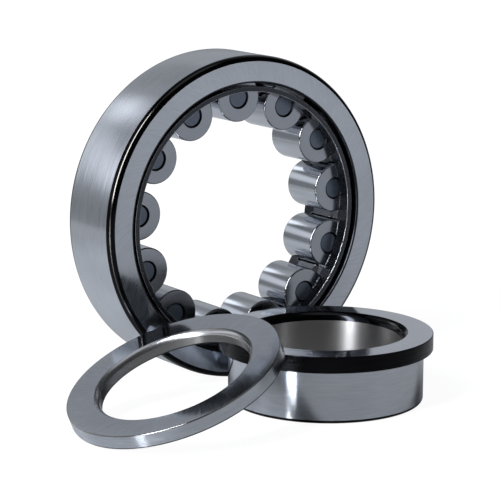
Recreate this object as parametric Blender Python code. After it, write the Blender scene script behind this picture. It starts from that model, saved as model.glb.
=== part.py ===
"""Cylindrical roller bearing, 45 x 100 x 25 mm, two-flange outer ring with its
caged roller set, one-flange inner ring and loose flange ring.

The bearing is laid out in its separable pieces, the way it is shown before
fitting: the outer ring stands upright on its outside diameter with the cage
and the rollers in it, the inner ring stands flat on its plain side in front
of it, and the loose flange ring leans on the edge of the inner ring's flange.

Frame: +Z up, the floor is z = 0, the outer ring's axis lies along Y and its
front side face looks along -Y. The origin is under the middle of the whole
layout's box, on the floor. All lengths below are millimetres; MM turns them
into metres.
"""

import math

import bmesh
import bpy
from mathutils import Matrix, Vector

MM = 0.001

# ---------------------------------------------------------------- dimensions
BORE = 45.0                    # shaft seat of the inner ring and loose ring
OUTSIDE = 100.0                # outside diameter of the outer ring
WIDTH = 25.0                   # width of the fitted bearing

# outer ring
OUTER_RACE = 88.5 + 0.16       # raceway, opened by the running clearance
OUTER_FLANGE_BORE = 83.2       # bore of the two integral flanges
RACE_WIDTH = 15.2              # distance between the two flanges
OUTER_EDGE_R = 1.8             # corner of the outside diameter, radially
OUTER_EDGE_A = 2.2             # the same corner, axially
FLANGE_EDGE = 0.65             # corner of the flange bores
OUTER_SEGMENTS = 80

# rollers
ROLLERS = 13
ROLLER_D = 15.0
ROLLER_L = 15.0
PITCH_D = 73.5
ROLLER_EDGE = 0.45
RECESS_D = 6.9                 # shallow dimple in each roller end
RECESS_FLOOR_D = 6.1
RECESS_DEPTH = 0.45
FIRST_ROLLER_DEG = -1.0        # first roller, from straight up, clockwise
ROLLER_SEGMENTS = 20

# cage: one pressed sheet with thirteen windows
CAGE_IN = 77.7
CAGE_OUT = 80.9
CAGE_LENGTH = 22.6
WINDOW_LENGTH = 15.5
BAR_WIDTH = 2.5
BAR_WAIST = 2.2                # width of the bar's pressed-in middle
BAR_OFFSET = 1.45              # how far the middle of a bar is pressed in
BAR_FLAT = 9.8                 # the bars leave the rim's level outside this
BAR_MIDDLE = 7.2               # and are fully pressed in inside this

# inner ring, one integral flange
INNER_RACE = 58.5
INNER_FLANGE_D = 64.1
INNER_HEIGHT = 20.6
INNER_FLANGE = 4.9
RELIEF_WIDTH = 0.6
RELIEF_DEPTH = 0.45
INNER_EDGE = 1.05              # corners of the plain side
INNER_BORE_EDGE_R = 2.0        # bore corner of the flange side, radially
INNER_BORE_EDGE_A = 2.4        # and axially
SMALL_EDGE = 0.25
INNER_SEGMENTS = 72

# loose flange ring
LOOSE_D = 64.1
LOOSE_WIDTH = WIDTH - INNER_HEIGHT
LOOSE_BORE_EDGE_R = 1.9
LOOSE_BORE_EDGE_A = 1.9
LOOSE_BACK_EDGE = 0.5
LOOSE_SEGMENTS = 72

# layout on the floor
GAP = 0.3                      # air kept between pieces that lean together
OUTER_AT = (0.0, 0.0)          # outer ring's centre, before the frame shift
INNER_AT = (5.4, -(WIDTH / 2 + INNER_FLANGE_D / 2 + GAP))
LOOSE_AT = (-49.9, -46.0)      # middle of the loose ring's upper face


# ------------------------------------------------------------------- helpers
def clear_scene():
    for ob in list(bpy.data.objects):
        bpy.data.objects.remove(ob, do_unlink=True)


def steel(name, colour, roughness):
    mat = bpy.data.materials.new(name)
    mat.use_nodes = True
    bsdf = mat.node_tree.nodes["Principled BSDF"]
    bsdf.inputs["Base Color"].default_value = (*colour, 1.0)
    bsdf.inputs["Metallic"].default_value = 1.0
    bsdf.inputs["Roughness"].default_value = roughness
    return mat


def finish(bm, name, mat, smooth_deg=30.0):
    """Closes a bmesh into a mesh in metres, faces out, shaded smooth."""
    bmesh.ops.remove_doubles(bm, verts=bm.verts, dist=1e-4)
    bmesh.ops.recalc_face_normals(bm, faces=bm.faces)
    if bm.calc_volume(signed=True) < 0:
        bmesh.ops.reverse_faces(bm, faces=bm.faces)
    bmesh.ops.scale(bm, vec=Vector((MM, MM, MM)), verts=bm.verts)
    mesh = bpy.data.meshes.new(name)
    bm.to_mesh(mesh)
    bm.free()
    mesh.shade_smooth()
    mesh.set_sharp_from_angle(angle=math.radians(smooth_deg))
    mesh.materials.append(mat)
    return mesh


def turned(profile, segments):
    """Spins a closed outline of (radius, axial) points about the Z axis."""
    bm = bmesh.new()
    verts = [bm.verts.new((r, 0.0, a)) for r, a in profile]
    edges = [bm.edges.new((verts[i], verts[(i + 1) % len(verts)]))
             for i in range(len(verts))]
    bmesh.ops.spin(bm, geom=verts + edges, cent=(0, 0, 0), axis=(0, 0, 1),
                   angle=2.0 * math.pi, steps=segments, use_merge=True,
                   use_duplicate=False)
    return bm


def turned_solid(profile, segments):
    """Spins an open outline whose two ends lie on the Z axis."""
    bm = bmesh.new()
    verts = [bm.verts.new((r, 0.0, a)) for r, a in profile]
    edges = [bm.edges.new((verts[i], verts[i + 1]))
             for i in range(len(verts) - 1)]
    bmesh.ops.spin(bm, geom=verts + edges, cent=(0, 0, 0), axis=(0, 0, 1),
                   angle=2.0 * math.pi, steps=segments, use_merge=True,
                   use_duplicate=False)
    return bm


def along_y(bm):
    """Turns a body made about Z so that its +Z side looks along -Y."""
    bmesh.ops.rotate(bm, cent=(0, 0, 0), verts=bm.verts,
                     matrix=Matrix.Rotation(math.radians(90.0), 3, "X"))
    return bm


def place(name, mesh, at, rotation=None, parent=None):
    """Puts a mesh at a point in millimetres, under an optional empty."""
    ob = bpy.data.objects.new(name, mesh)
    bpy.context.collection.objects.link(ob)
    where = Vector(at) * MM
    if parent is not None:
        ob.parent = parent
        where -= parent.location
    ob.location = where
    if rotation is not None:
        ob.rotation_euler = rotation
    return ob


def axis_empty(name, at):
    ob = bpy.data.objects.new(name, None)
    ob.empty_display_size = 0.01
    bpy.context.collection.objects.link(ob)
    ob.location = Vector(at) * MM
    return ob


# ----------------------------------------------------------------- outlines
def outer_ring_outline():
    ro, h = OUTSIDE / 2, WIDTH / 2
    rf, rr, w = OUTER_FLANGE_BORE / 2, OUTER_RACE / 2, RACE_WIDTH / 2
    er, ea, f = OUTER_EDGE_R, OUTER_EDGE_A, FLANGE_EDGE
    half = [(rr, w), (rf + 0.35, w), (rf, w + 0.35), (rf, h - f), (rf + f, h),
            (ro - er, h), (ro - er * 0.38, h - ea * 0.30), (ro, h - ea)]
    return half + [(r, -a) for r, a in reversed(half)]


def roller_outline():
    r, h, e = ROLLER_D / 2, ROLLER_L / 2, ROLLER_EDGE
    top = [(0.0, h - RECESS_DEPTH), (RECESS_FLOOR_D / 2, h - RECESS_DEPTH),
           (RECESS_D / 2, h), (r - e, h), (r, h - e)]
    return top + [(q, -a) for q, a in reversed(top)]


def inner_ring_outline():
    rb, rr, rf = BORE / 2, INNER_RACE / 2, INNER_FLANGE_D / 2
    h, e, s = INNER_HEIGHT, INNER_EDGE, SMALL_EDGE
    zf = h - INNER_FLANGE
    return [(rb, e), (rb + e, 0.0), (rr - e, 0.0), (rr, e),
            (rr, zf - RELIEF_WIDTH),
            (rr - RELIEF_DEPTH, zf - RELIEF_WIDTH + 0.15),
            (rr - RELIEF_DEPTH, zf - 0.1), (rr + 0.1, zf),
            (rf - s, zf), (rf, zf + s), (rf, h - s), (rf - s, h),
            (rb + INNER_BORE_EDGE_R, h),
            (rb + 0.75, h - 0.8), (rb, h - INNER_BORE_EDGE_A)]


def loose_ring_outline():
    rb, ro, t = BORE / 2, LOOSE_D / 2, LOOSE_WIDTH
    s, k = SMALL_EDGE, LOOSE_BACK_EDGE
    return [(rb, -t + k), (rb + k, -t), (ro - s, -t), (ro, -t + s),
            (ro, -s), (ro - s, 0.0), (rb + LOOSE_BORE_EDGE_R, 0.0),
            (rb + 0.7, -0.65), (rb, -LOOSE_BORE_EDGE_A)]


def cage_body():
    """Sheet-metal cage as one skin: a grid of cells round the axis, inside
    and outside skins joined by walls wherever a neighbouring cell is
    missing. The bars step inward between their flat ends."""
    ri, ro = CAGE_IN / 2, CAGE_OUT / 2
    rm = (ri + ro) / 2
    rows = [-CAGE_LENGTH / 2, -WINDOW_LENGTH / 2, -BAR_FLAT / 2,
            -BAR_MIDDLE / 2, BAR_MIDDLE / 2, BAR_FLAT / 2,
            WINDOW_LENGTH / 2, CAGE_LENGTH / 2]
    depth = [0, 0, 0, 1, 1, 0, 0, 0]
    pitch = 2 * math.pi / ROLLERS
    first = math.radians(FIRST_ROLLER_DEG) + pitch / 2
    per = 6                                  # one bar cell, five window cells
    ends = math.asin(BAR_WIDTH / 2 / rm)
    waist = math.asin(BAR_WAIST / 2 / (rm - BAR_OFFSET))

    def column_angle(c, row):
        bar, k = divmod(c, per)
        half = waist if depth[row] else ends
        if k == 0:
            t = -half
        elif k == 1:
            t = half
        else:
            t = ends + (k - 1) * (pitch - 2 * ends) / (per - 1)
        return first + bar * pitch + t

    def column_offset(c, row):
        return BAR_OFFSET if depth[row] and c % per in (0, 1) else 0.0

    n = per * ROLLERS
    bm = bmesh.new()
    skins = []
    for radius in (ri, ro):
        skin = {}
        for c in range(n):
            for j, y in enumerate(rows):
                if 2 <= j <= len(rows) - 3 and c % per not in (0, 1):
                    continue
                t = column_angle(c, j)
                r = radius - column_offset(c, j)
                skin[c, j] = bm.verts.new((r * math.sin(t), y,
                                           r * math.cos(t)))
        skins.append(skin)
    inside, outside = skins

    def solid(c, j):
        if not 0 <= j < len(rows) - 1:
            return False
        return j in (0, len(rows) - 2) or c % per == 0

    for c in range(n):
        d = (c + 1) % n
        for j in range(len(rows) - 1):
            if not solid(c, j):
                continue
            for skin in (inside, outside):
                bm.faces.new((skin[c, j], skin[d, j], skin[d, j + 1],
                              skin[c, j + 1]))
            walls = []
            if not solid(c, j - 1):
                walls.append(((c, j), (d, j)))
            if not solid(c, j + 1):
                walls.append(((c, j + 1), (d, j + 1)))
            if not solid((c - 1) % n, j):
                walls.append(((c, j), (c, j + 1)))
            if not solid(d, j):
                walls.append(((d, j), (d, j + 1)))
            for a, b in walls:
                bm.faces.new((inside[a], inside[b], outside[b], outside[a]))
    return bm


def leaning_tilt():
    """Tilt of the loose ring, in radians, at which its lower rim stands on
    the floor while its under face clears the inner ring's flange edge by
    GAP. Found by halving, because rim and edge both move with the tilt."""
    rim = LOOSE_D / 2 - SMALL_EDGE
    edge = INNER_AT[0] - (INNER_FLANGE_D / 2 - SMALL_EDGE)

    def clearance(t):
        centre = rim * math.sin(t) + LOOSE_WIDTH * math.cos(t)
        along = -math.sin(t) * (edge - LOOSE_AT[0])
        above = math.cos(t) * (INNER_HEIGHT - centre)
        return -(along + above + LOOSE_WIDTH)

    low, high = math.radians(10.0), math.radians(35.0)
    for _ in range(60):
        mid = (low + high) / 2
        if clearance(mid) < GAP:
            low = mid
        else:
            high = mid
    return (low + high) / 2


# -------------------------------------------------------------------- layout
def build():
    clear_scene()

    tilt = leaning_tilt()
    loose_z = ((LOOSE_D / 2 - SMALL_EDGE) * math.sin(tilt)
               + LOOSE_WIDTH * math.cos(tilt))

    # the whole layout's box, so that the origin sits under its middle
    reach = (LOOSE_D / 2) * math.cos(tilt)
    x_low = LOOSE_AT[0] - reach
    x_high = OUTSIDE / 2
    y_low = min(LOOSE_AT[1] - LOOSE_D / 2, INNER_AT[1] - INNER_FLANGE_D / 2)
    y_high = WIDTH / 2
    shift = Vector((-(x_low + x_high) / 2, -(y_low + y_high) / 2, 0.0))

    ring_steel = steel("outer_ring_steel", (0.42, 0.43, 0.46), 0.30)
    cage_steel = steel("cage_steel", (0.20, 0.21, 0.24), 0.35)
    roller_steel = steel("roller_steel", (0.50, 0.51, 0.54), 0.15)
    inner_steel = steel("inner_ring_steel", (0.45, 0.46, 0.49), 0.28)
    loose_steel = steel("loose_ring_steel", (0.42, 0.43, 0.46), 0.32)

    centre = Vector((OUTER_AT[0], OUTER_AT[1], OUTSIDE / 2)) + shift

    bm = along_y(turned(outer_ring_outline(), OUTER_SEGMENTS))
    place("outer_ring", finish(bm, "outer_ring", ring_steel), centre)

    # cage and rollers hang on one empty, which lies on the bearing's axis
    set_axis = axis_empty("roller_set_axis", centre)
    place("cage", finish(cage_body(), "cage", cage_steel), centre,
          parent=set_axis)

    for i in range(ROLLERS):
        t = math.radians(FIRST_ROLLER_DEG + i * 360.0 / ROLLERS)
        at = centre + Vector((PITCH_D / 2 * math.sin(t), 0.0,
                              PITCH_D / 2 * math.cos(t)))
        name = "roller_%02d" % (i + 1)
        bm = along_y(turned_solid(roller_outline(), ROLLER_SEGMENTS))
        place(name, finish(bm, name, roller_steel), at, parent=set_axis)

    inner = Vector((INNER_AT[0], INNER_AT[1], 0.0)) + shift
    bm = turned(inner_ring_outline(), INNER_SEGMENTS)
    place("inner_ring", finish(bm, "inner_ring", inner_steel), inner)

    loose = Vector((LOOSE_AT[0], LOOSE_AT[1], loose_z)) + shift
    bm = turned(loose_ring_outline(), LOOSE_SEGMENTS)
    place("loose_flange_ring", finish(bm, "loose_flange_ring", loose_steel),
          loose, rotation=(0.0, -tilt, 0.0))


build()
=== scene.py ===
import math
import bpy
import bmesh
from mathutils import Vector, Matrix


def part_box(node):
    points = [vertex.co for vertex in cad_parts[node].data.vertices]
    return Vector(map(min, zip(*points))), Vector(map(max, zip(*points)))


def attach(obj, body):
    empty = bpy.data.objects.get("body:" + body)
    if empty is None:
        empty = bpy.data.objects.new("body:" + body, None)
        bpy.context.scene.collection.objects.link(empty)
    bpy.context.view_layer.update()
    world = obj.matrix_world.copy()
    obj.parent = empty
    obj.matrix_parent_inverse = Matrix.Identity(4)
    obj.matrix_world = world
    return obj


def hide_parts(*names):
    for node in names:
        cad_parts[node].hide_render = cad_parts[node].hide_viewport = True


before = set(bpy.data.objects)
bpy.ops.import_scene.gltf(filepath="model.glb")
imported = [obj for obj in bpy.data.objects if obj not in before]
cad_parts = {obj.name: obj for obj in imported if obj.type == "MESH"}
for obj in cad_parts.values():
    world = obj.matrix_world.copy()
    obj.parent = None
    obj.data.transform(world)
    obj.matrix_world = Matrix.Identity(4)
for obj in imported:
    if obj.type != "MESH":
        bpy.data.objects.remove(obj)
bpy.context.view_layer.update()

MM = 0.001

# ---------------------------------------------------------------- sizes, mm
R_OUT, R_RACE, R_FLANGE, W2 = 50.0, 44.33, 41.6, 12.5
ROLLERS, ROLLER_R, ROLLER_L2, PITCH_R = 13, 7.5, 7.5, 36.75
FIRST_DEG = -1.0
INNER_H = 20.6
LOOSE_T = 4.4


def centre_of(node):
    lo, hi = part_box(node)
    return (lo + hi) / 2


# ------------------------------------------------------------ mesh helpers
def corner(prev, p, nxt, a, b, n, round_by=1.0):
    """Corner at p: length a back along the incoming edge, b along the
    outgoing one. round_by 1 is a quarter of an ellipse, 0 a flat chamfer."""
    u = (Vector(prev) - Vector(p)).normalized()
    v = (Vector(nxt) - Vector(p)).normalized()
    out = []
    for i in range(n + 1):
        t = math.pi / 2 * i / n
        q = Vector(p) + u * a * (1 - math.sin(t)) + v * b * (1 - math.cos(t))
        flat = Vector(p) + u * a * (1 - i / n) + v * b * (i / n)
        out.append(flat.lerp(q, round_by))
    return out


def outline(points):
    """points: (r, z, (a, b) or None, material of the edge that leaves the
    point, material of the corner, or one for its sides and one for a lighter
    line along its middle, which is a painted highlight). Returns the closed
    profile with the material of each of its edges."""
    n = len(points)
    verts, mats = [], []
    for i, (r, z, cut, mat, cmat) in enumerate(points):
        pr, nx = points[i - 1], points[(i + 1) % n]
        if cut:
            seg = corner(pr[:2], (r, z), nx[:2], cut[0], cut[1], 8,
                         cut[2] if len(cut) > 2 else 1.0)
            verts += seg
            side, middle = cmat if isinstance(cmat, tuple) else (cmat, cmat)
            mats += [side] * 4 + [middle] + [side] * 3 + [mat]
        else:
            verts.append(Vector((r, z)))
            mats.append(mat)
    return verts, mats


def lathe(name, points, segments, mats, split=None):
    """Solid of revolution round local Z. The split argument is not used."""
    verts, edge_mat = outline(points)
    bm = bmesh.new()
    n, closed = len(verts), True
    rings = []
    for v in verts:
        if v.x < 1e-6:
            rings.append([bm.verts.new((0, 0, v.y * MM))])
            continue
        rings.append([bm.verts.new((v.x * MM * math.cos(2 * math.pi * k / segments),
                                    v.x * MM * math.sin(2 * math.pi * k / segments),
                                    v.y * MM)) for k in range(segments)])
    on_axis = [len(r) == 1 for r in rings]
    for i in range(n):
        j = (i + 1) % n
        if on_axis[i] and on_axis[j]:
            continue
        a, b = rings[i], rings[j]
        for k in range(segments):
            m = (k + 1) % segments
            if on_axis[i]:
                f = bm.faces.new((a[0], b[m], b[k]))
            elif on_axis[j]:
                f = bm.faces.new((a[k], a[m], b[0]))
            else:
                f = bm.faces.new((a[k], a[m], b[m], b[k]))
            f.material_index = edge_mat[i]
            f.smooth = True
    bmesh.ops.recalc_face_normals(bm, faces=bm.faces)
    me = bpy.data.meshes.new(name)
    bm.to_mesh(me)
    bm.free()
    for m in mats:
        me.materials.append(m)
    me.set_sharp_from_angle(angle=math.radians(14))
    ob = bpy.data.objects.new(name, me)
    bpy.context.scene.collection.objects.link(ob)
    return ob


# --------------------------------------------------------------- materials
def nodes_of(name):
    m = bpy.data.materials.new(name)
    m.use_nodes = True
    nt = m.node_tree
    return m, nt, nt.nodes["Principled BSDF"]


def polar(nt):
    """Angle, radius and height round the piece's own axis."""
    tc = nt.nodes.new("ShaderNodeTexCoord")
    sx = nt.nodes.new("ShaderNodeSeparateXYZ")
    nt.links.new(tc.outputs["Object"], sx.inputs[0])
    at = nt.nodes.new("ShaderNodeMath"); at.operation = "ARCTAN2"
    nt.links.new(sx.outputs["Y"], at.inputs[0])
    nt.links.new(sx.outputs["X"], at.inputs[1])
    x2 = nt.nodes.new("ShaderNodeVectorMath"); x2.operation = "LENGTH"
    flat = nt.nodes.new("ShaderNodeCombineXYZ")
    nt.links.new(sx.outputs["X"], flat.inputs[0])
    nt.links.new(sx.outputs["Y"], flat.inputs[1])
    nt.links.new(flat.outputs[0], x2.inputs[0])
    return tc, at.outputs[0], x2.outputs["Value"], sx.outputs["Z"]


def scaled(nt, socket, k):
    m = nt.nodes.new("ShaderNodeMath"); m.operation = "MULTIPLY"
    nt.links.new(socket, m.inputs[0]); m.inputs[1].default_value = k
    return m.outputs[0]


def circle(nt, ang, radius, height):
    """Point on a circle at this angle, so a pattern closes without a seam."""
    comb = nt.nodes.new("ShaderNodeCombineXYZ")
    for i, op in enumerate(("COSINE", "SINE")):
        t = nt.nodes.new("ShaderNodeMath"); t.operation = op
        nt.links.new(ang, t.inputs[0])
        nt.links.new(scaled(nt, t.outputs[0], radius), comb.inputs[i])
    nt.links.new(height, comb.inputs[2])
    return comb.outputs[0]


def noise(nt, vec, scale, detail=3.0, rough=0.6, w=None):
    n = nt.nodes.new("ShaderNodeTexNoise")
    if w is not None:
        n.noise_dimensions = "4D"
        nt.links.new(w, n.inputs["W"])
    n.inputs["Scale"].default_value = scale
    n.inputs["Detail"].default_value = detail
    n.inputs["Roughness"].default_value = rough
    nt.links.new(vec, n.inputs["Vector"])
    return n.outputs["Fac"]


def remap(nt, socket, lo, hi, to_lo, to_hi):
    m = nt.nodes.new("ShaderNodeMapRange")
    m.inputs["From Min"].default_value = lo
    m.inputs["From Max"].default_value = hi
    m.inputs["To Min"].default_value = to_lo
    m.inputs["To Max"].default_value = to_hi
    nt.links.new(socket, m.inputs["Value"])
    return m.outputs["Result"]


def steel(name, colour, rough, grain="ring", lines=26000.0, along=9.0,
          tint=0.10, rough_var=0.05, bump=0.02, aniso=0.0, blotch=0.05, dark=None):
    """Bare bearing steel. grain: 'ring' for circumferential grinding,
    'face' for the crossing arcs of a ground face, 'plain' for pressed or
    tumbled surfaces."""
    m, nt, b = nodes_of(name)
    tc, ang, rad, z = polar(nt)
    if grain == "ring":
        fine = noise(nt, circle(nt, ang, along, scaled(nt, z, lines)), 1.0, 4.0, 0.65,
                     w=scaled(nt, rad, lines))
    elif grain == "face":
        # arcs: the angle shears with the radius, so lines run across the band
        sh = nt.nodes.new("ShaderNodeMath"); sh.operation = "ADD"
        nt.links.new(ang, sh.inputs[0])
        nt.links.new(scaled(nt, rad, 14.0), sh.inputs[1])
        fine = noise(nt, circle(nt, sh.outputs[0], along * 17.0, scaled(nt, rad, 260.0)), 1.0, 4.0, 0.6)
    else:
        fine = noise(nt, tc.outputs["Object"], 1800.0, 4.0, 0.6)
    broad = noise(nt, tc.outputs["Object"], 60.0, 3.0, 0.5)
    mixf = nt.nodes.new("ShaderNodeMath"); mixf.operation = "MULTIPLY_ADD"
    nt.links.new(fine, mixf.inputs[0])
    mixf.inputs[1].default_value = tint
    nt.links.new(remap(nt, broad, 0.3, 0.7, 1.0 - tint / 2 - blotch, 1.0 - tint / 2 + blotch), mixf.inputs[2])
    col = nt.nodes.new("ShaderNodeMix"); col.data_type = "RGBA"; col.blend_type = "MULTIPLY"
    col.inputs["Factor"].default_value = 1.0
    col.inputs[6].default_value = (*colour, 1)
    grey = nt.nodes.new("ShaderNodeCombineColor")
    for i in range(3):
        nt.links.new(mixf.outputs[0], grey.inputs[i])
    nt.links.new(grey.outputs[0], col.inputs[7])
    nt.links.new(col.outputs[2], b.inputs["Base Color"])
    b.inputs["Metallic"].default_value = 1.0
    nt.links.new(remap(nt, fine, 0.3, 0.7, max(0.02, rough - rough_var), rough + rough_var), b.inputs["Roughness"])
    if aniso:
        b.inputs["Anisotropic"].default_value = aniso
        b.inputs["Anisotropic Rotation"].default_value = 0.25
        tg = nt.nodes.new("ShaderNodeTangent")
        tg.direction_type = "RADIAL"; tg.axis = "Z"
        nt.links.new(tg.outputs[0], b.inputs["Tangent"])
    if bump:
        bp = nt.nodes.new("ShaderNodeBump")
        bp.inputs["Strength"].default_value = bump
        bp.inputs["Distance"].default_value = 0.0002
        nt.links.new(fine, bp.inputs["Height"])
        nt.links.new(bp.outputs[0], b.inputs["Normal"])
    return m


M_FACE = steel("ground_face_steel", (0.585, 0.615, 0.67), 0.13, "face", tint=0.55, rough_var=0.05, bump=0.005, blotch=0.04)
M_OD = steel("ground_outside_steel", (0.60, 0.63, 0.68), 0.205, "ring", lines=2600, along=5.0, tint=0.75, bump=0.03, aniso=0.93)
M_EDGE = steel("dark_corner_steel", (0.014, 0.0145, 0.017), 0.14, "ring", lines=6000, along=3, tint=0.3, bump=0.02)
M_BLACK = steel("black_turned_steel", (0.010, 0.010, 0.011), 0.24, "ring", lines=1500, along=2, tint=0.9, bump=0.5, blotch=0.2)
M_RIM = steel("polished_rim_steel", (0.33, 0.325, 0.315), 0.12, "ring", lines=5000, along=3, tint=0.3, bump=0.03)
# lighter strip along the middle of each rounded chamfer: a painted highlight line that runs all the way round
M_HIGHLIGHT_LINE = steel("corner_painted_highlight_steel", (0.050, 0.047, 0.042), 0.13, "ring", lines=2500, along=6.0, tint=0.6, bump=0.0)
M_RACE = steel("raceway_steel", (0.57, 0.595, 0.64), 0.125, "ring", lines=2600, along=4.0, tint=0.65, bump=0.02, aniso=0.93)
M_BORE = steel("bore_steel", (0.42, 0.408, 0.40), 0.41, "ring", lines=7000, along=60.0, tint=0.22, bump=0.02, aniso=0.94)
# darker copy of the bore steel for the loose ring's bore: painted shade
M_SHADED_BORE = steel("loose_bore_painted_shade_steel", (0.30, 0.295, 0.29), 0.30, "ring", lines=12000, along=2.5, tint=0.16, bump=0.006, aniso=0.93)
M_CHAM = steel("bore_corner_steel", (0.60, 0.60, 0.605), 0.24, "ring", lines=9000, along=2.5, tint=0.2, bump=0.01)
# near-black steel for the outer ring's flange bores, flange sides, relief grooves and inner corners: painted shade
# inside the ring
M_SHADED_INSIDE = steel("inside_painted_shade_steel", (0.045, 0.047, 0.053), 0.26, "ring", lines=8000, along=3, tint=0.2, bump=0.03)
M_ROLL = steel("roller_polished_steel", (0.55, 0.575, 0.62), 0.095, "ring", lines=5000, along=3, tint=0.14, bump=0.006, aniso=0.85)
M_REDGE = steel("roller_corner_steel", (0.34, 0.345, 0.36), 0.10, "ring", lines=6000, along=3, tint=0.2, bump=0.0)
M_REND = steel("roller_end_steel", (0.405, 0.43, 0.475), 0.20, "face", along=3.0, tint=0.30, bump=0.006, blotch=0.04)
M_RECESS = steel("roller_recess_steel", (0.18, 0.21, 0.26), 0.40, "plain", tint=0.4, bump=0.06)
# near-black for the small groove round the roller-end recess: painted shade in the crease
M_GROOVE_SHADE = steel("roller_groove_painted_shade", (0.010, 0.010, 0.012), 0.4, "plain", tint=0.2, bump=0.0)
M_BAR = steel("cage_bar_steel", (0.24, 0.25, 0.275), 0.30, "plain", tint=0.3, bump=0.03, blotch=0.12)
M_CAGE = steel("pressed_cage_steel", (0.062, 0.066, 0.077), 0.26, "plain", tint=0.3, bump=0.03, blotch=0.12)
M_CAGE_EDGE = steel("cage_cut_edge_steel", (0.22, 0.215, 0.21), 0.26, "plain", tint=0.3, bump=0.06)
M_WORN = steel("cage_worn_edge_steel", (0.55, 0.55, 0.56), 0.22, "plain", tint=0.3, bump=0.02)

# -------------------------------------------------------------- outer ring
C = centre_of("outer_ring")
AXIS_Y = Matrix.Rotation(math.radians(-90), 4, "X")      # local Z -> world +Y


def ring_place(ob, centre, rot):
    ob.matrix_world = Matrix.Translation(centre) @ rot
    return ob


# material 3 is the near-black painted shade inside the ring
outer_mats = [M_FACE, M_EDGE, M_OD, M_SHADED_INSIDE, M_RACE, M_HIGHLIGHT_LINE]
outer = lathe("outer_ring_detail", [
    (R_FLANGE, -W2, (0.65, 0.65), 0, 3),
    # the line along the middle of these two corners is a painted highlight
    (R_OUT, -W2, (1.75, 2.2, 0.75), 2, (1, 5)),
    (R_OUT, W2, (2.2, 1.75, 0.75), 0, (1, 5)),
    (R_FLANGE, W2, (0.65, 0.65), 3, 3),
    (R_FLANGE, 7.6, (0.2, 0.2), 3, 3),
    (R_RACE + 0.25, 7.6, None, 3, 3),
    (R_RACE + 0.25, 7.0, None, 3, 3),
    (R_RACE, 6.8, None, 4, 4),
    (R_RACE, -6.8, None, 3, 3),
    (R_RACE + 0.25, -7.0, None, 3, 3),
    (R_RACE + 0.25, -7.6, None, 3, 3),
    (R_FLANGE, -7.6, (0.2, 0.2), 3, 3),
], 288, outer_mats)
ring_place(outer, C, AXIS_Y)
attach(outer, "outer_ring_body")
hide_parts("outer_ring")

# ----------------------------------------------------------------- rollers
roller_pts = [
    (0.0, -ROLLER_L2 + 0.42, None, 1, 1),
    # material 2, the groove round the end recess, is painted shade
    (2.92, -ROLLER_L2 + 0.45, None, 2, 2),
    (3.10, -ROLLER_L2 + 0.50, None, 2, 2),
    (3.42, -ROLLER_L2 + 0.06, None, 2, 2),
    (3.52, -ROLLER_L2, None, 0, 0),
    (ROLLER_R, -ROLLER_L2, (0.42, 0.5), 3, 4),
    (ROLLER_R, ROLLER_L2, (0.5, 0.42), 0, 4),
    (3.52, ROLLER_L2, None, 2, 2),
    (3.42, ROLLER_L2 - 0.06, None, 2, 2),
    (3.10, ROLLER_L2 - 0.50, None, 2, 2),
    (2.92, ROLLER_L2 - 0.45, None, 1, 1),
    (0.0, ROLLER_L2 - 0.42, None, 1, 1),
]
for i in range(ROLLERS):
    node = f"roller_{i + 1:02d}"
    ob = lathe(node + "_detail", roller_pts, 96, [M_REND, M_RECESS, M_GROOVE_SHADE, M_ROLL, M_REDGE])
    turn = Matrix.Rotation(math.radians(47.0 * i), 4, "Z")
    ring_place(ob, centre_of(node), AXIS_Y @ turn)
    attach(ob, node + "_body")
    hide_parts(node)


# -------------------------------------------------------------------- cage
def smooth(x, a, b):
    t = min(1.0, max(0.0, (x - a) / (b - a)))
    return t * t * (3 - 2 * t)


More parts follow.
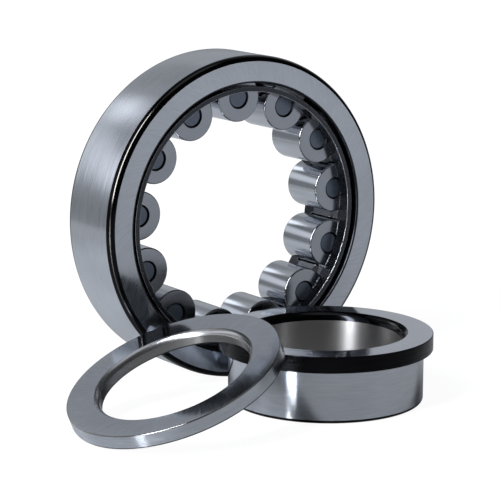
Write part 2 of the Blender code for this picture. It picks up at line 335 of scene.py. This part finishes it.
def cage_mesh():
    ri, ro, L2 = 38.85, 40.45, 11.3
    rm, pitch = (ri + ro) / 2, 2 * math.pi / ROLLERS
    first = math.radians(FIRST_DEG) + pitch / 2
    win_y, half_bar, waist, offset = 7.75, 1.25 / rm, 1.10 / (rm - 1.45), 1.45
    half_win = pitch / 2 - half_bar
    corner_r = 0.9

    def window(n_side, n_corner):
        """Outline of a rounded window in (angle*rm, y), round its middle."""
        w, h = half_win * rm, win_y
        pts = []
        for sx, sy, a0 in ((1, 1, 0), (-1, 1, 90), (-1, -1, 180), (1, -1, 270)):
            cx, cy = sx * (w - corner_r), sy * (h - corner_r)
            for i in range(n_corner + 1):
                a = math.radians(a0 + 90 * i / n_corner)
                pts.append((cx + corner_r * math.cos(a), cy + corner_r * math.sin(a)))
            # straight side that follows this corner
            nx = {0: (-(w - corner_r), h), 90: (-w, -(h - corner_r)),
                  180: (w - corner_r, -h), 270: (w, h - corner_r)}[a0]
            last = pts[-1]
            steps = n_side if a0 in (90, 270) else n_side // 2
            for i in range(1, steps):
                t = i / steps
                pts.append((last[0] + (nx[0] - last[0]) * t, last[1] + (nx[1] - last[1]) * t))
        return pts

    def press(y):
        return 1.0 - smooth(abs(y), 3.6, 4.9)

    inner = window(26, 6)
    W, H = pitch / 2 * rm, L2
    grid_rings = 4
    bm = bmesh.new()

    def put(px, y, radius, cell):
        # the pressed-in middle narrows the bar a little and moves it inward
        p = press(y)
        a = px / rm
        if p > 0 and abs(a) > half_win - 0.02:
            gap = pitch / 2 - abs(a)
            want = gap * ((half_bar + (waist - half_bar) * p) / half_bar)
            a = math.copysign(pitch / 2 - want, a)
        r = radius - offset * p
        t = first + pitch / 2 + cell * pitch + a
        return bm.verts.new((r * math.sin(t) * MM, r * math.cos(t) * MM, y * MM))

    n = len(inner)
    for cell in range(ROLLERS):
        skins = []
        for radius in (ri, ro):
            rings = []
            for g in range(grid_rings + 1):
                f = g / grid_rings
                row = []
                for (px, py) in inner:
                    # matching point of the cell's rectangle
                    k = min(W / abs(px) if px else 1e9, H / abs(py) if py else 1e9)
                    if abs(py) < win_y - corner_r and abs(px) > 0.8 * half_win * rm:
                        ox, oy = math.copysign(W, px), py
                    elif abs(px) < half_win * rm - corner_r:
                        ox, oy = px, math.copysign(H, py)
                    else:
                        cx = math.copysign(half_win * rm - corner_r, px)
                        cy = math.copysign(win_y - corner_r, py)
                        ax, ay = abs(px - cx), abs(py - cy)
                        if ax >= ay:
                            q = ay / max(ax, 1e-9)
                            ox = math.copysign(W, px)
                            oy = math.copysign(abs(cy) + (H - abs(cy)) * q, py)
                        else:
                            q = ax / max(ay, 1e-9)
                            oy = math.copysign(H, py)
                            ox = math.copysign(abs(cx) + (W - abs(cx)) * q, px)
                    row.append(put(px + (ox - px) * f, py + (oy - py) * f, radius, cell))
                rings.append(row)
            skins.append(rings)
        for si, rings in enumerate(skins):
            for g in range(grid_rings):
                for i in range(n):
                    j = (i + 1) % n
                    f = bm.faces.new((rings[g][i], rings[g][j], rings[g + 1][j], rings[g + 1][i]))
                    if max(abs(v.co.z) for v in f.verts) < (win_y - corner_r) * MM:
                        f.material_index = 4
        for i in range(n):
            j = (i + 1) % n
            f = bm.faces.new((skins[0][0][i], skins[0][0][j], skins[1][0][j], skins[1][0][i]))
            f.material_index = 1
        for i in range(n):
            j = (i + 1) % n
            a, b = skins[0][-1][i], skins[0][-1][j]
            if abs(abs(a.co.z) - L2 * MM) < 1e-7 and abs(abs(b.co.z) - L2 * MM) < 1e-7 and a.co.z * b.co.z > 0:
                f = bm.faces.new((a, b, skins[1][-1][j], skins[1][-1][i]))
                f.material_index = 2
    bmesh.ops.remove_doubles(bm, verts=bm.verts, dist=2e-6)
    bmesh.ops.recalc_face_normals(bm, faces=bm.faces)
    for f in bm.faces:
        f.smooth = True
    me = bpy.data.meshes.new("cage_detail")
    bm.to_mesh(me)
    bm.free()
    for m in (M_CAGE, M_CAGE_EDGE, M_CAGE, M_WORN, M_BAR):
        me.materials.append(m)
    me.set_sharp_from_angle(angle=math.radians(35))
    ob = bpy.data.objects.new("cage_detail", me)
    bpy.context.scene.collection.objects.link(ob)
    bev = ob.modifiers.new("edges", "BEVEL")
    bev.width = 0.00014
    bev.segments = 2
    bev.material = 3
    bev.limit_method = "ANGLE"
    bev.angle_limit = math.radians(50)
    bev.harden_normals = True
    return ob


cage = cage_mesh()
# the mesh is built with its axis on local Z and its angles clockwise from
# straight up seen from the front: local X -> world X, local Y -> world Z
CAGE_ROT = Matrix(((1, 0, 0, 0), (0, 0, 1, 0), (0, 1, 0, 0), (0, 0, 0, 1)))
cage.data.transform(CAGE_ROT)
cage.data.flip_normals()
cage.matrix_world = Matrix.Translation(C)
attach(cage, "cage_body")
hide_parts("cage")

# -------------------------------------------------------------- inner ring
ib_lo, ib_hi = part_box("inner_ring")
IC = Vector(((ib_lo.x + ib_hi.x) / 2, (ib_lo.y + ib_hi.y) / 2, ib_lo.z))
inner_mats = [M_FACE, M_EDGE, M_RACE, M_BORE, M_BLACK, M_HIGHLIGHT_LINE]
inner = lathe("inner_ring_detail", [
    # the line along the middle of this bore corner is a painted highlight
    (22.5, INNER_H, (2.4, 2.0, 0.6), 0, (1, 5)),
    (32.05, INNER_H, (0.25, 0.25), 4, 1),
    (32.05, INNER_H - 4.9, (0.25, 0.25), 4, 4),
    (28.8, INNER_H - 4.9, None, 4, 4),
    (28.8, INNER_H - 5.5, None, 2, 4),
    (29.25, INNER_H - 5.6, None, 2, 2),
    (29.25, 0.0, (1.05, 1.05), 0, 1),
    (22.5, 0.0, (1.5, 1.5), 3, 1),
], 288, inner_mats)
inner.matrix_world = Matrix.Translation(IC)
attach(inner, "inner_ring_body")
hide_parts("inner_ring")

# ------------------------------------------------------- loose flange ring
TILT = math.radians(22.1967)
L_TOP = Vector((-0.0351126, -0.013225, 0.0160876))
# the loose ring's bore takes the darker bore steel, which is painted shade
loose_mats = [M_FACE, M_EDGE, M_OD, M_SHADED_BORE, M_RIM, M_CHAM]
loose = lathe("loose_flange_ring_detail", [
    (22.5, 0.0, (1.5, 1.5, 0.5), 0, 5),
    (32.05, 0.0, (0.3, 0.3), 2, 4),
    (32.05, -LOOSE_T, (0.5, 0.5), 0, 1),
    (22.5, -LOOSE_T, (0.5, 0.5), 3, 1),
], 288, loose_mats)
loose.matrix_world = Matrix.Translation(L_TOP) @ Matrix.Rotation(-TILT, 4, "Y")
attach(loose, "loose_flange_ring_body")
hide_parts("loose_flange_ring")

# -------------------------------------------------------------------- floor
bpy.ops.mesh.primitive_plane_add(size=1)
floor = bpy.context.object
floor.name = "studio_floor"
floor.scale = (6, 6, 1)
floor.location = (0.0, 0.0, -0.0002)
fm, fnt, fb = nodes_of("floor_pale_painted_shade")
# overexposed to the lens, as a lit white table is; in the steel it shows as a
# pale semi-gloss grey with painted shade: darker close to the parts and paler
# further out, darker in bands along the far direction, and darker beyond 0.35 m
fb.inputs["Roughness"].default_value = 0.16
fb.inputs["Specular IOR Level"].default_value = 0.5
lp = fnt.nodes.new("ShaderNodeLightPath")
geo = fnt.nodes.new("ShaderNodeNewGeometry")
far = fnt.nodes.new("ShaderNodeVectorMath"); far.operation = "DOT_PRODUCT"
fnt.links.new(geo.outputs["Position"], far.inputs[0])
far.inputs[1].default_value = (-0.53, 0.85, 0.0)
near = fnt.nodes.new("ShaderNodeVectorMath"); near.operation = "DOT_PRODUCT"
fnt.links.new(geo.outputs["Position"], near.inputs[0])
near.inputs[1].default_value = (0.57, -0.82, 0.0)
# painted shade on the reflected tone: paler away from the parts towards the lens, darker below 0.02 m and beyond
# 0.22 m along the far direction
rise1 = remap(fnt, near.outputs["Value"], 0.12, 0.55, 1.0, 1.3)
left1 = remap(fnt, far.outputs["Value"], 0.02, 0.08, 0.64, 0.86)
left2 = remap(fnt, far.outputs["Value"], 0.14, 0.22, 1.0, 0.62)
leftm = fnt.nodes.new("ShaderNodeMath"); leftm.operation = "MULTIPLY"
fnt.links.new(left1, leftm.inputs[0]); fnt.links.new(left2, leftm.inputs[1])
left = leftm.outputs[0]
risem = fnt.nodes.new("ShaderNodeMath"); risem.operation = "MULTIPLY"
fnt.links.new(rise1, risem.inputs[0]); fnt.links.new(left, risem.inputs[1])
rise = risem.outputs[0]
drop = remap(fnt, far.outputs["Value"], 0.34, 0.36, 1.0, 0.38)
# painted shade: darker where the floor lies close to the parts
close = remap(fnt, near.outputs["Value"], 0.02, 0.12, 0.78, 1.0)
dropm = fnt.nodes.new("ShaderNodeMath"); dropm.operation = "MULTIPLY"
fnt.links.new(drop, dropm.inputs[0]); fnt.links.new(close, dropm.inputs[1])
drop = dropm.outputs[0]
tonem = fnt.nodes.new("ShaderNodeMath"); tonem.operation = "MULTIPLY"
fnt.links.new(rise, tonem.inputs[0]); fnt.links.new(drop, tonem.inputs[1])
tone = tonem.outputs[0]
grey3 = fnt.nodes.new("ShaderNodeCombineColor")
for i in range(3):
    fnt.links.new(tone, grey3.inputs[i])
fnt.links.new(grey3.outputs[0], fb.inputs["Base Color"])
glow = fnt.nodes.new("ShaderNodeEmission")
glow.inputs["Color"].default_value = (0.95, 0.95, 0.95, 1)
soft = fnt.nodes.new("ShaderNodeBsdfDiffuse")
soft.inputs["Color"].default_value = (0.12, 0.12, 0.12, 1)
lens = fnt.nodes.new("ShaderNodeAddShader")
fnt.links.new(glow.outputs[0], lens.inputs[0])
fnt.links.new(soft.outputs[0], lens.inputs[1])
pick = fnt.nodes.new("ShaderNodeMixShader")
fnt.links.new(lp.outputs["Is Camera Ray"], pick.inputs[0])
fnt.links.new(fb.outputs[0], pick.inputs[1])
fnt.links.new(lens.outputs[0], pick.inputs[2])
fnt.links.new(pick.outputs[0], fnt.nodes["Material Output"].inputs["Surface"])
floor.data.materials.append(fm)

# -------------------------------------------------------------------- world
# Studio: azimuth 0 looks along +Y and grows towards +X, in degrees
world = bpy.data.worlds.new("studio")
bpy.context.scene.world = world
world.use_nodes = True
wt = world.node_tree
for nd in list(wt.nodes):
    wt.nodes.remove(nd)
wout = wt.nodes.new("ShaderNodeOutputWorld")
wtc = wt.nodes.new("ShaderNodeTexCoord")


def wmath(op, a, b=None, c=None):
    m = wt.nodes.new("ShaderNodeMath"); m.operation = op
    for i, v in enumerate((a, b, c)):
        if v is None:
            continue
        if isinstance(v, (int, float)):
            m.inputs[i].default_value = v
        else:
            wt.links.new(v, m.inputs[i])
    return m.outputs[0]


def wdot(vec):
    m = wt.nodes.new("ShaderNodeVectorMath"); m.operation = "DOT_PRODUCT"
    wt.links.new(wtc.outputs["Generated"], m.inputs[0])
    m.inputs[1].default_value = vec
    return m.outputs["Value"]


ELEV = wmath("MULTIPLY", wmath("ARCSINE", wdot((0, 0, 1))), 180 / math.pi)


def ramp(v, a, b, to_a, to_b):
    m = wt.nodes.new("ShaderNodeMapRange"); m.interpolation_type = "SMOOTHSTEP"
    wt.links.new(v, m.inputs["Value"])
    for k, x in (("From Min", a), ("From Max", b), ("To Min", to_a), ("To Max", to_b)):
        m.inputs[k].default_value = x
    return m.outputs["Result"]


def softbox(azimuth, half_az, el, half_el, soft_az=2.0, soft_el=2.0):
    """1 inside a box of directions, 0 outside, with soft edges."""
    a = math.radians(azimuth)
    u = wdot((math.cos(a), -math.sin(a), 0))
    w = wdot((math.sin(a), math.cos(a), 0))
    off = wmath("ABSOLUTE", wmath("MULTIPLY", wmath("ARCTAN2", u, w), 180 / math.pi))
    de = wmath("ABSOLUTE", wmath("SUBTRACT", ELEV, el))
    return wmath("MULTIPLY", ramp(off, half_az - soft_az, half_az + soft_az, 1, 0),
                 ramp(de, half_el - soft_el, half_el + soft_el, 1, 0))


def over(base, mask, value):
    return wmath("ADD", base, wmath("MULTIPLY", mask, wmath("SUBTRACT", value, base)))


sky = ramp(ELEV, 4, 9, 0.27, 0.47)                       # dark line, then the backdrop
sky = wmath("MULTIPLY", sky, ramp(ELEV, 44, 56, 1.0, 0.25))   # unlit ceiling
sky = over(sky, softbox(-46, 30, 34, 9, 4, 3), 0.24)     # gap above the backdrop
sky = over(sky, softbox(-38, 34, 17, 7, 5, 4), 0.88)     # lit backdrop on the left
sky = over(sky, softbox(-10, 7, 31, 5, 3, 2.5), 1.75)    # soft box, upper left
sky = over(sky, softbox(14, 9, 32, 9, 4, 4), 0.34)       # gap beside it
sky = over(sky, softbox(145, 78, 30, 44, 12, 8), 0.05)   # unlit room behind the lens
sky = over(sky, softbox(-150, 40, 30, 44, 8, 8), 0.05)
sky = over(sky, softbox(146, 24, -4, 9, 6, 3), 0.50)     # lit wall, low on the right
sky = over(sky, softbox(0, 200, 82, 10, 2, 5), 0.55)     # overhead light
sky = over(sky, softbox(-103, 5.0, 34, 26, 1.0, 2), 32.0)   # strip light on the left
bg = wt.nodes.new("ShaderNodeBackground")
tintc = wt.nodes.new("ShaderNodeCombineColor")
for i, k in enumerate((0.95, 0.985, 1.04)):
    wt.links.new(wmath("MULTIPLY", sky, k), tintc.inputs[i])
wt.links.new(tintc.outputs[0], bg.inputs["Color"])
white = wt.nodes.new("ShaderNodeBackground")
white.inputs["Color"].default_value = (1, 1, 1, 1)
wlp = wt.nodes.new("ShaderNodeLightPath")
mixw = wt.nodes.new("ShaderNodeMixShader")
wt.links.new(wlp.outputs["Is Camera Ray"], mixw.inputs[0])
wt.links.new(bg.outputs[0], mixw.inputs[1])
wt.links.new(white.outputs[0], mixw.inputs[2])
wt.links.new(mixw.outputs[0], wout.inputs["Surface"])

# ------------------------------------------------------------------- camera
cam_data = bpy.data.cameras.new("camera")
cam = bpy.data.objects.new("camera", cam_data)
bpy.context.scene.collection.objects.link(cam)
az, el, roll = math.radians(-35.01465), math.radians(11.7566), math.radians(0.23497)
fwd = Vector((-math.sin(az) * math.cos(el), math.cos(az) * math.cos(el), -math.sin(el)))
target = Vector((0.0089958 + 0.0147874, 0.032775, 0.0368935))
right = fwd.cross(Vector((0, 0, 1))).normalized()
up = right.cross(fwd)
rr = right * math.cos(roll) + up * math.sin(roll)
uu = -right * math.sin(roll) + up * math.cos(roll)
pos = target - fwd * 0.667327
cam.matrix_world = Matrix(((rr.x, uu.x, -fwd.x, pos.x), (rr.y, uu.y, -fwd.y, pos.y),
                           (rr.z, uu.z, -fwd.z, pos.z), (0, 0, 0, 1)))
cam_data.sensor_width = 36.0
cam_data.lens = 2118.036 / 500 * 36.0
cam_data.clip_start = 0.01
bpy.context.scene.camera = cam
bpy.context.scene.view_settings.view_transform = "Standard"
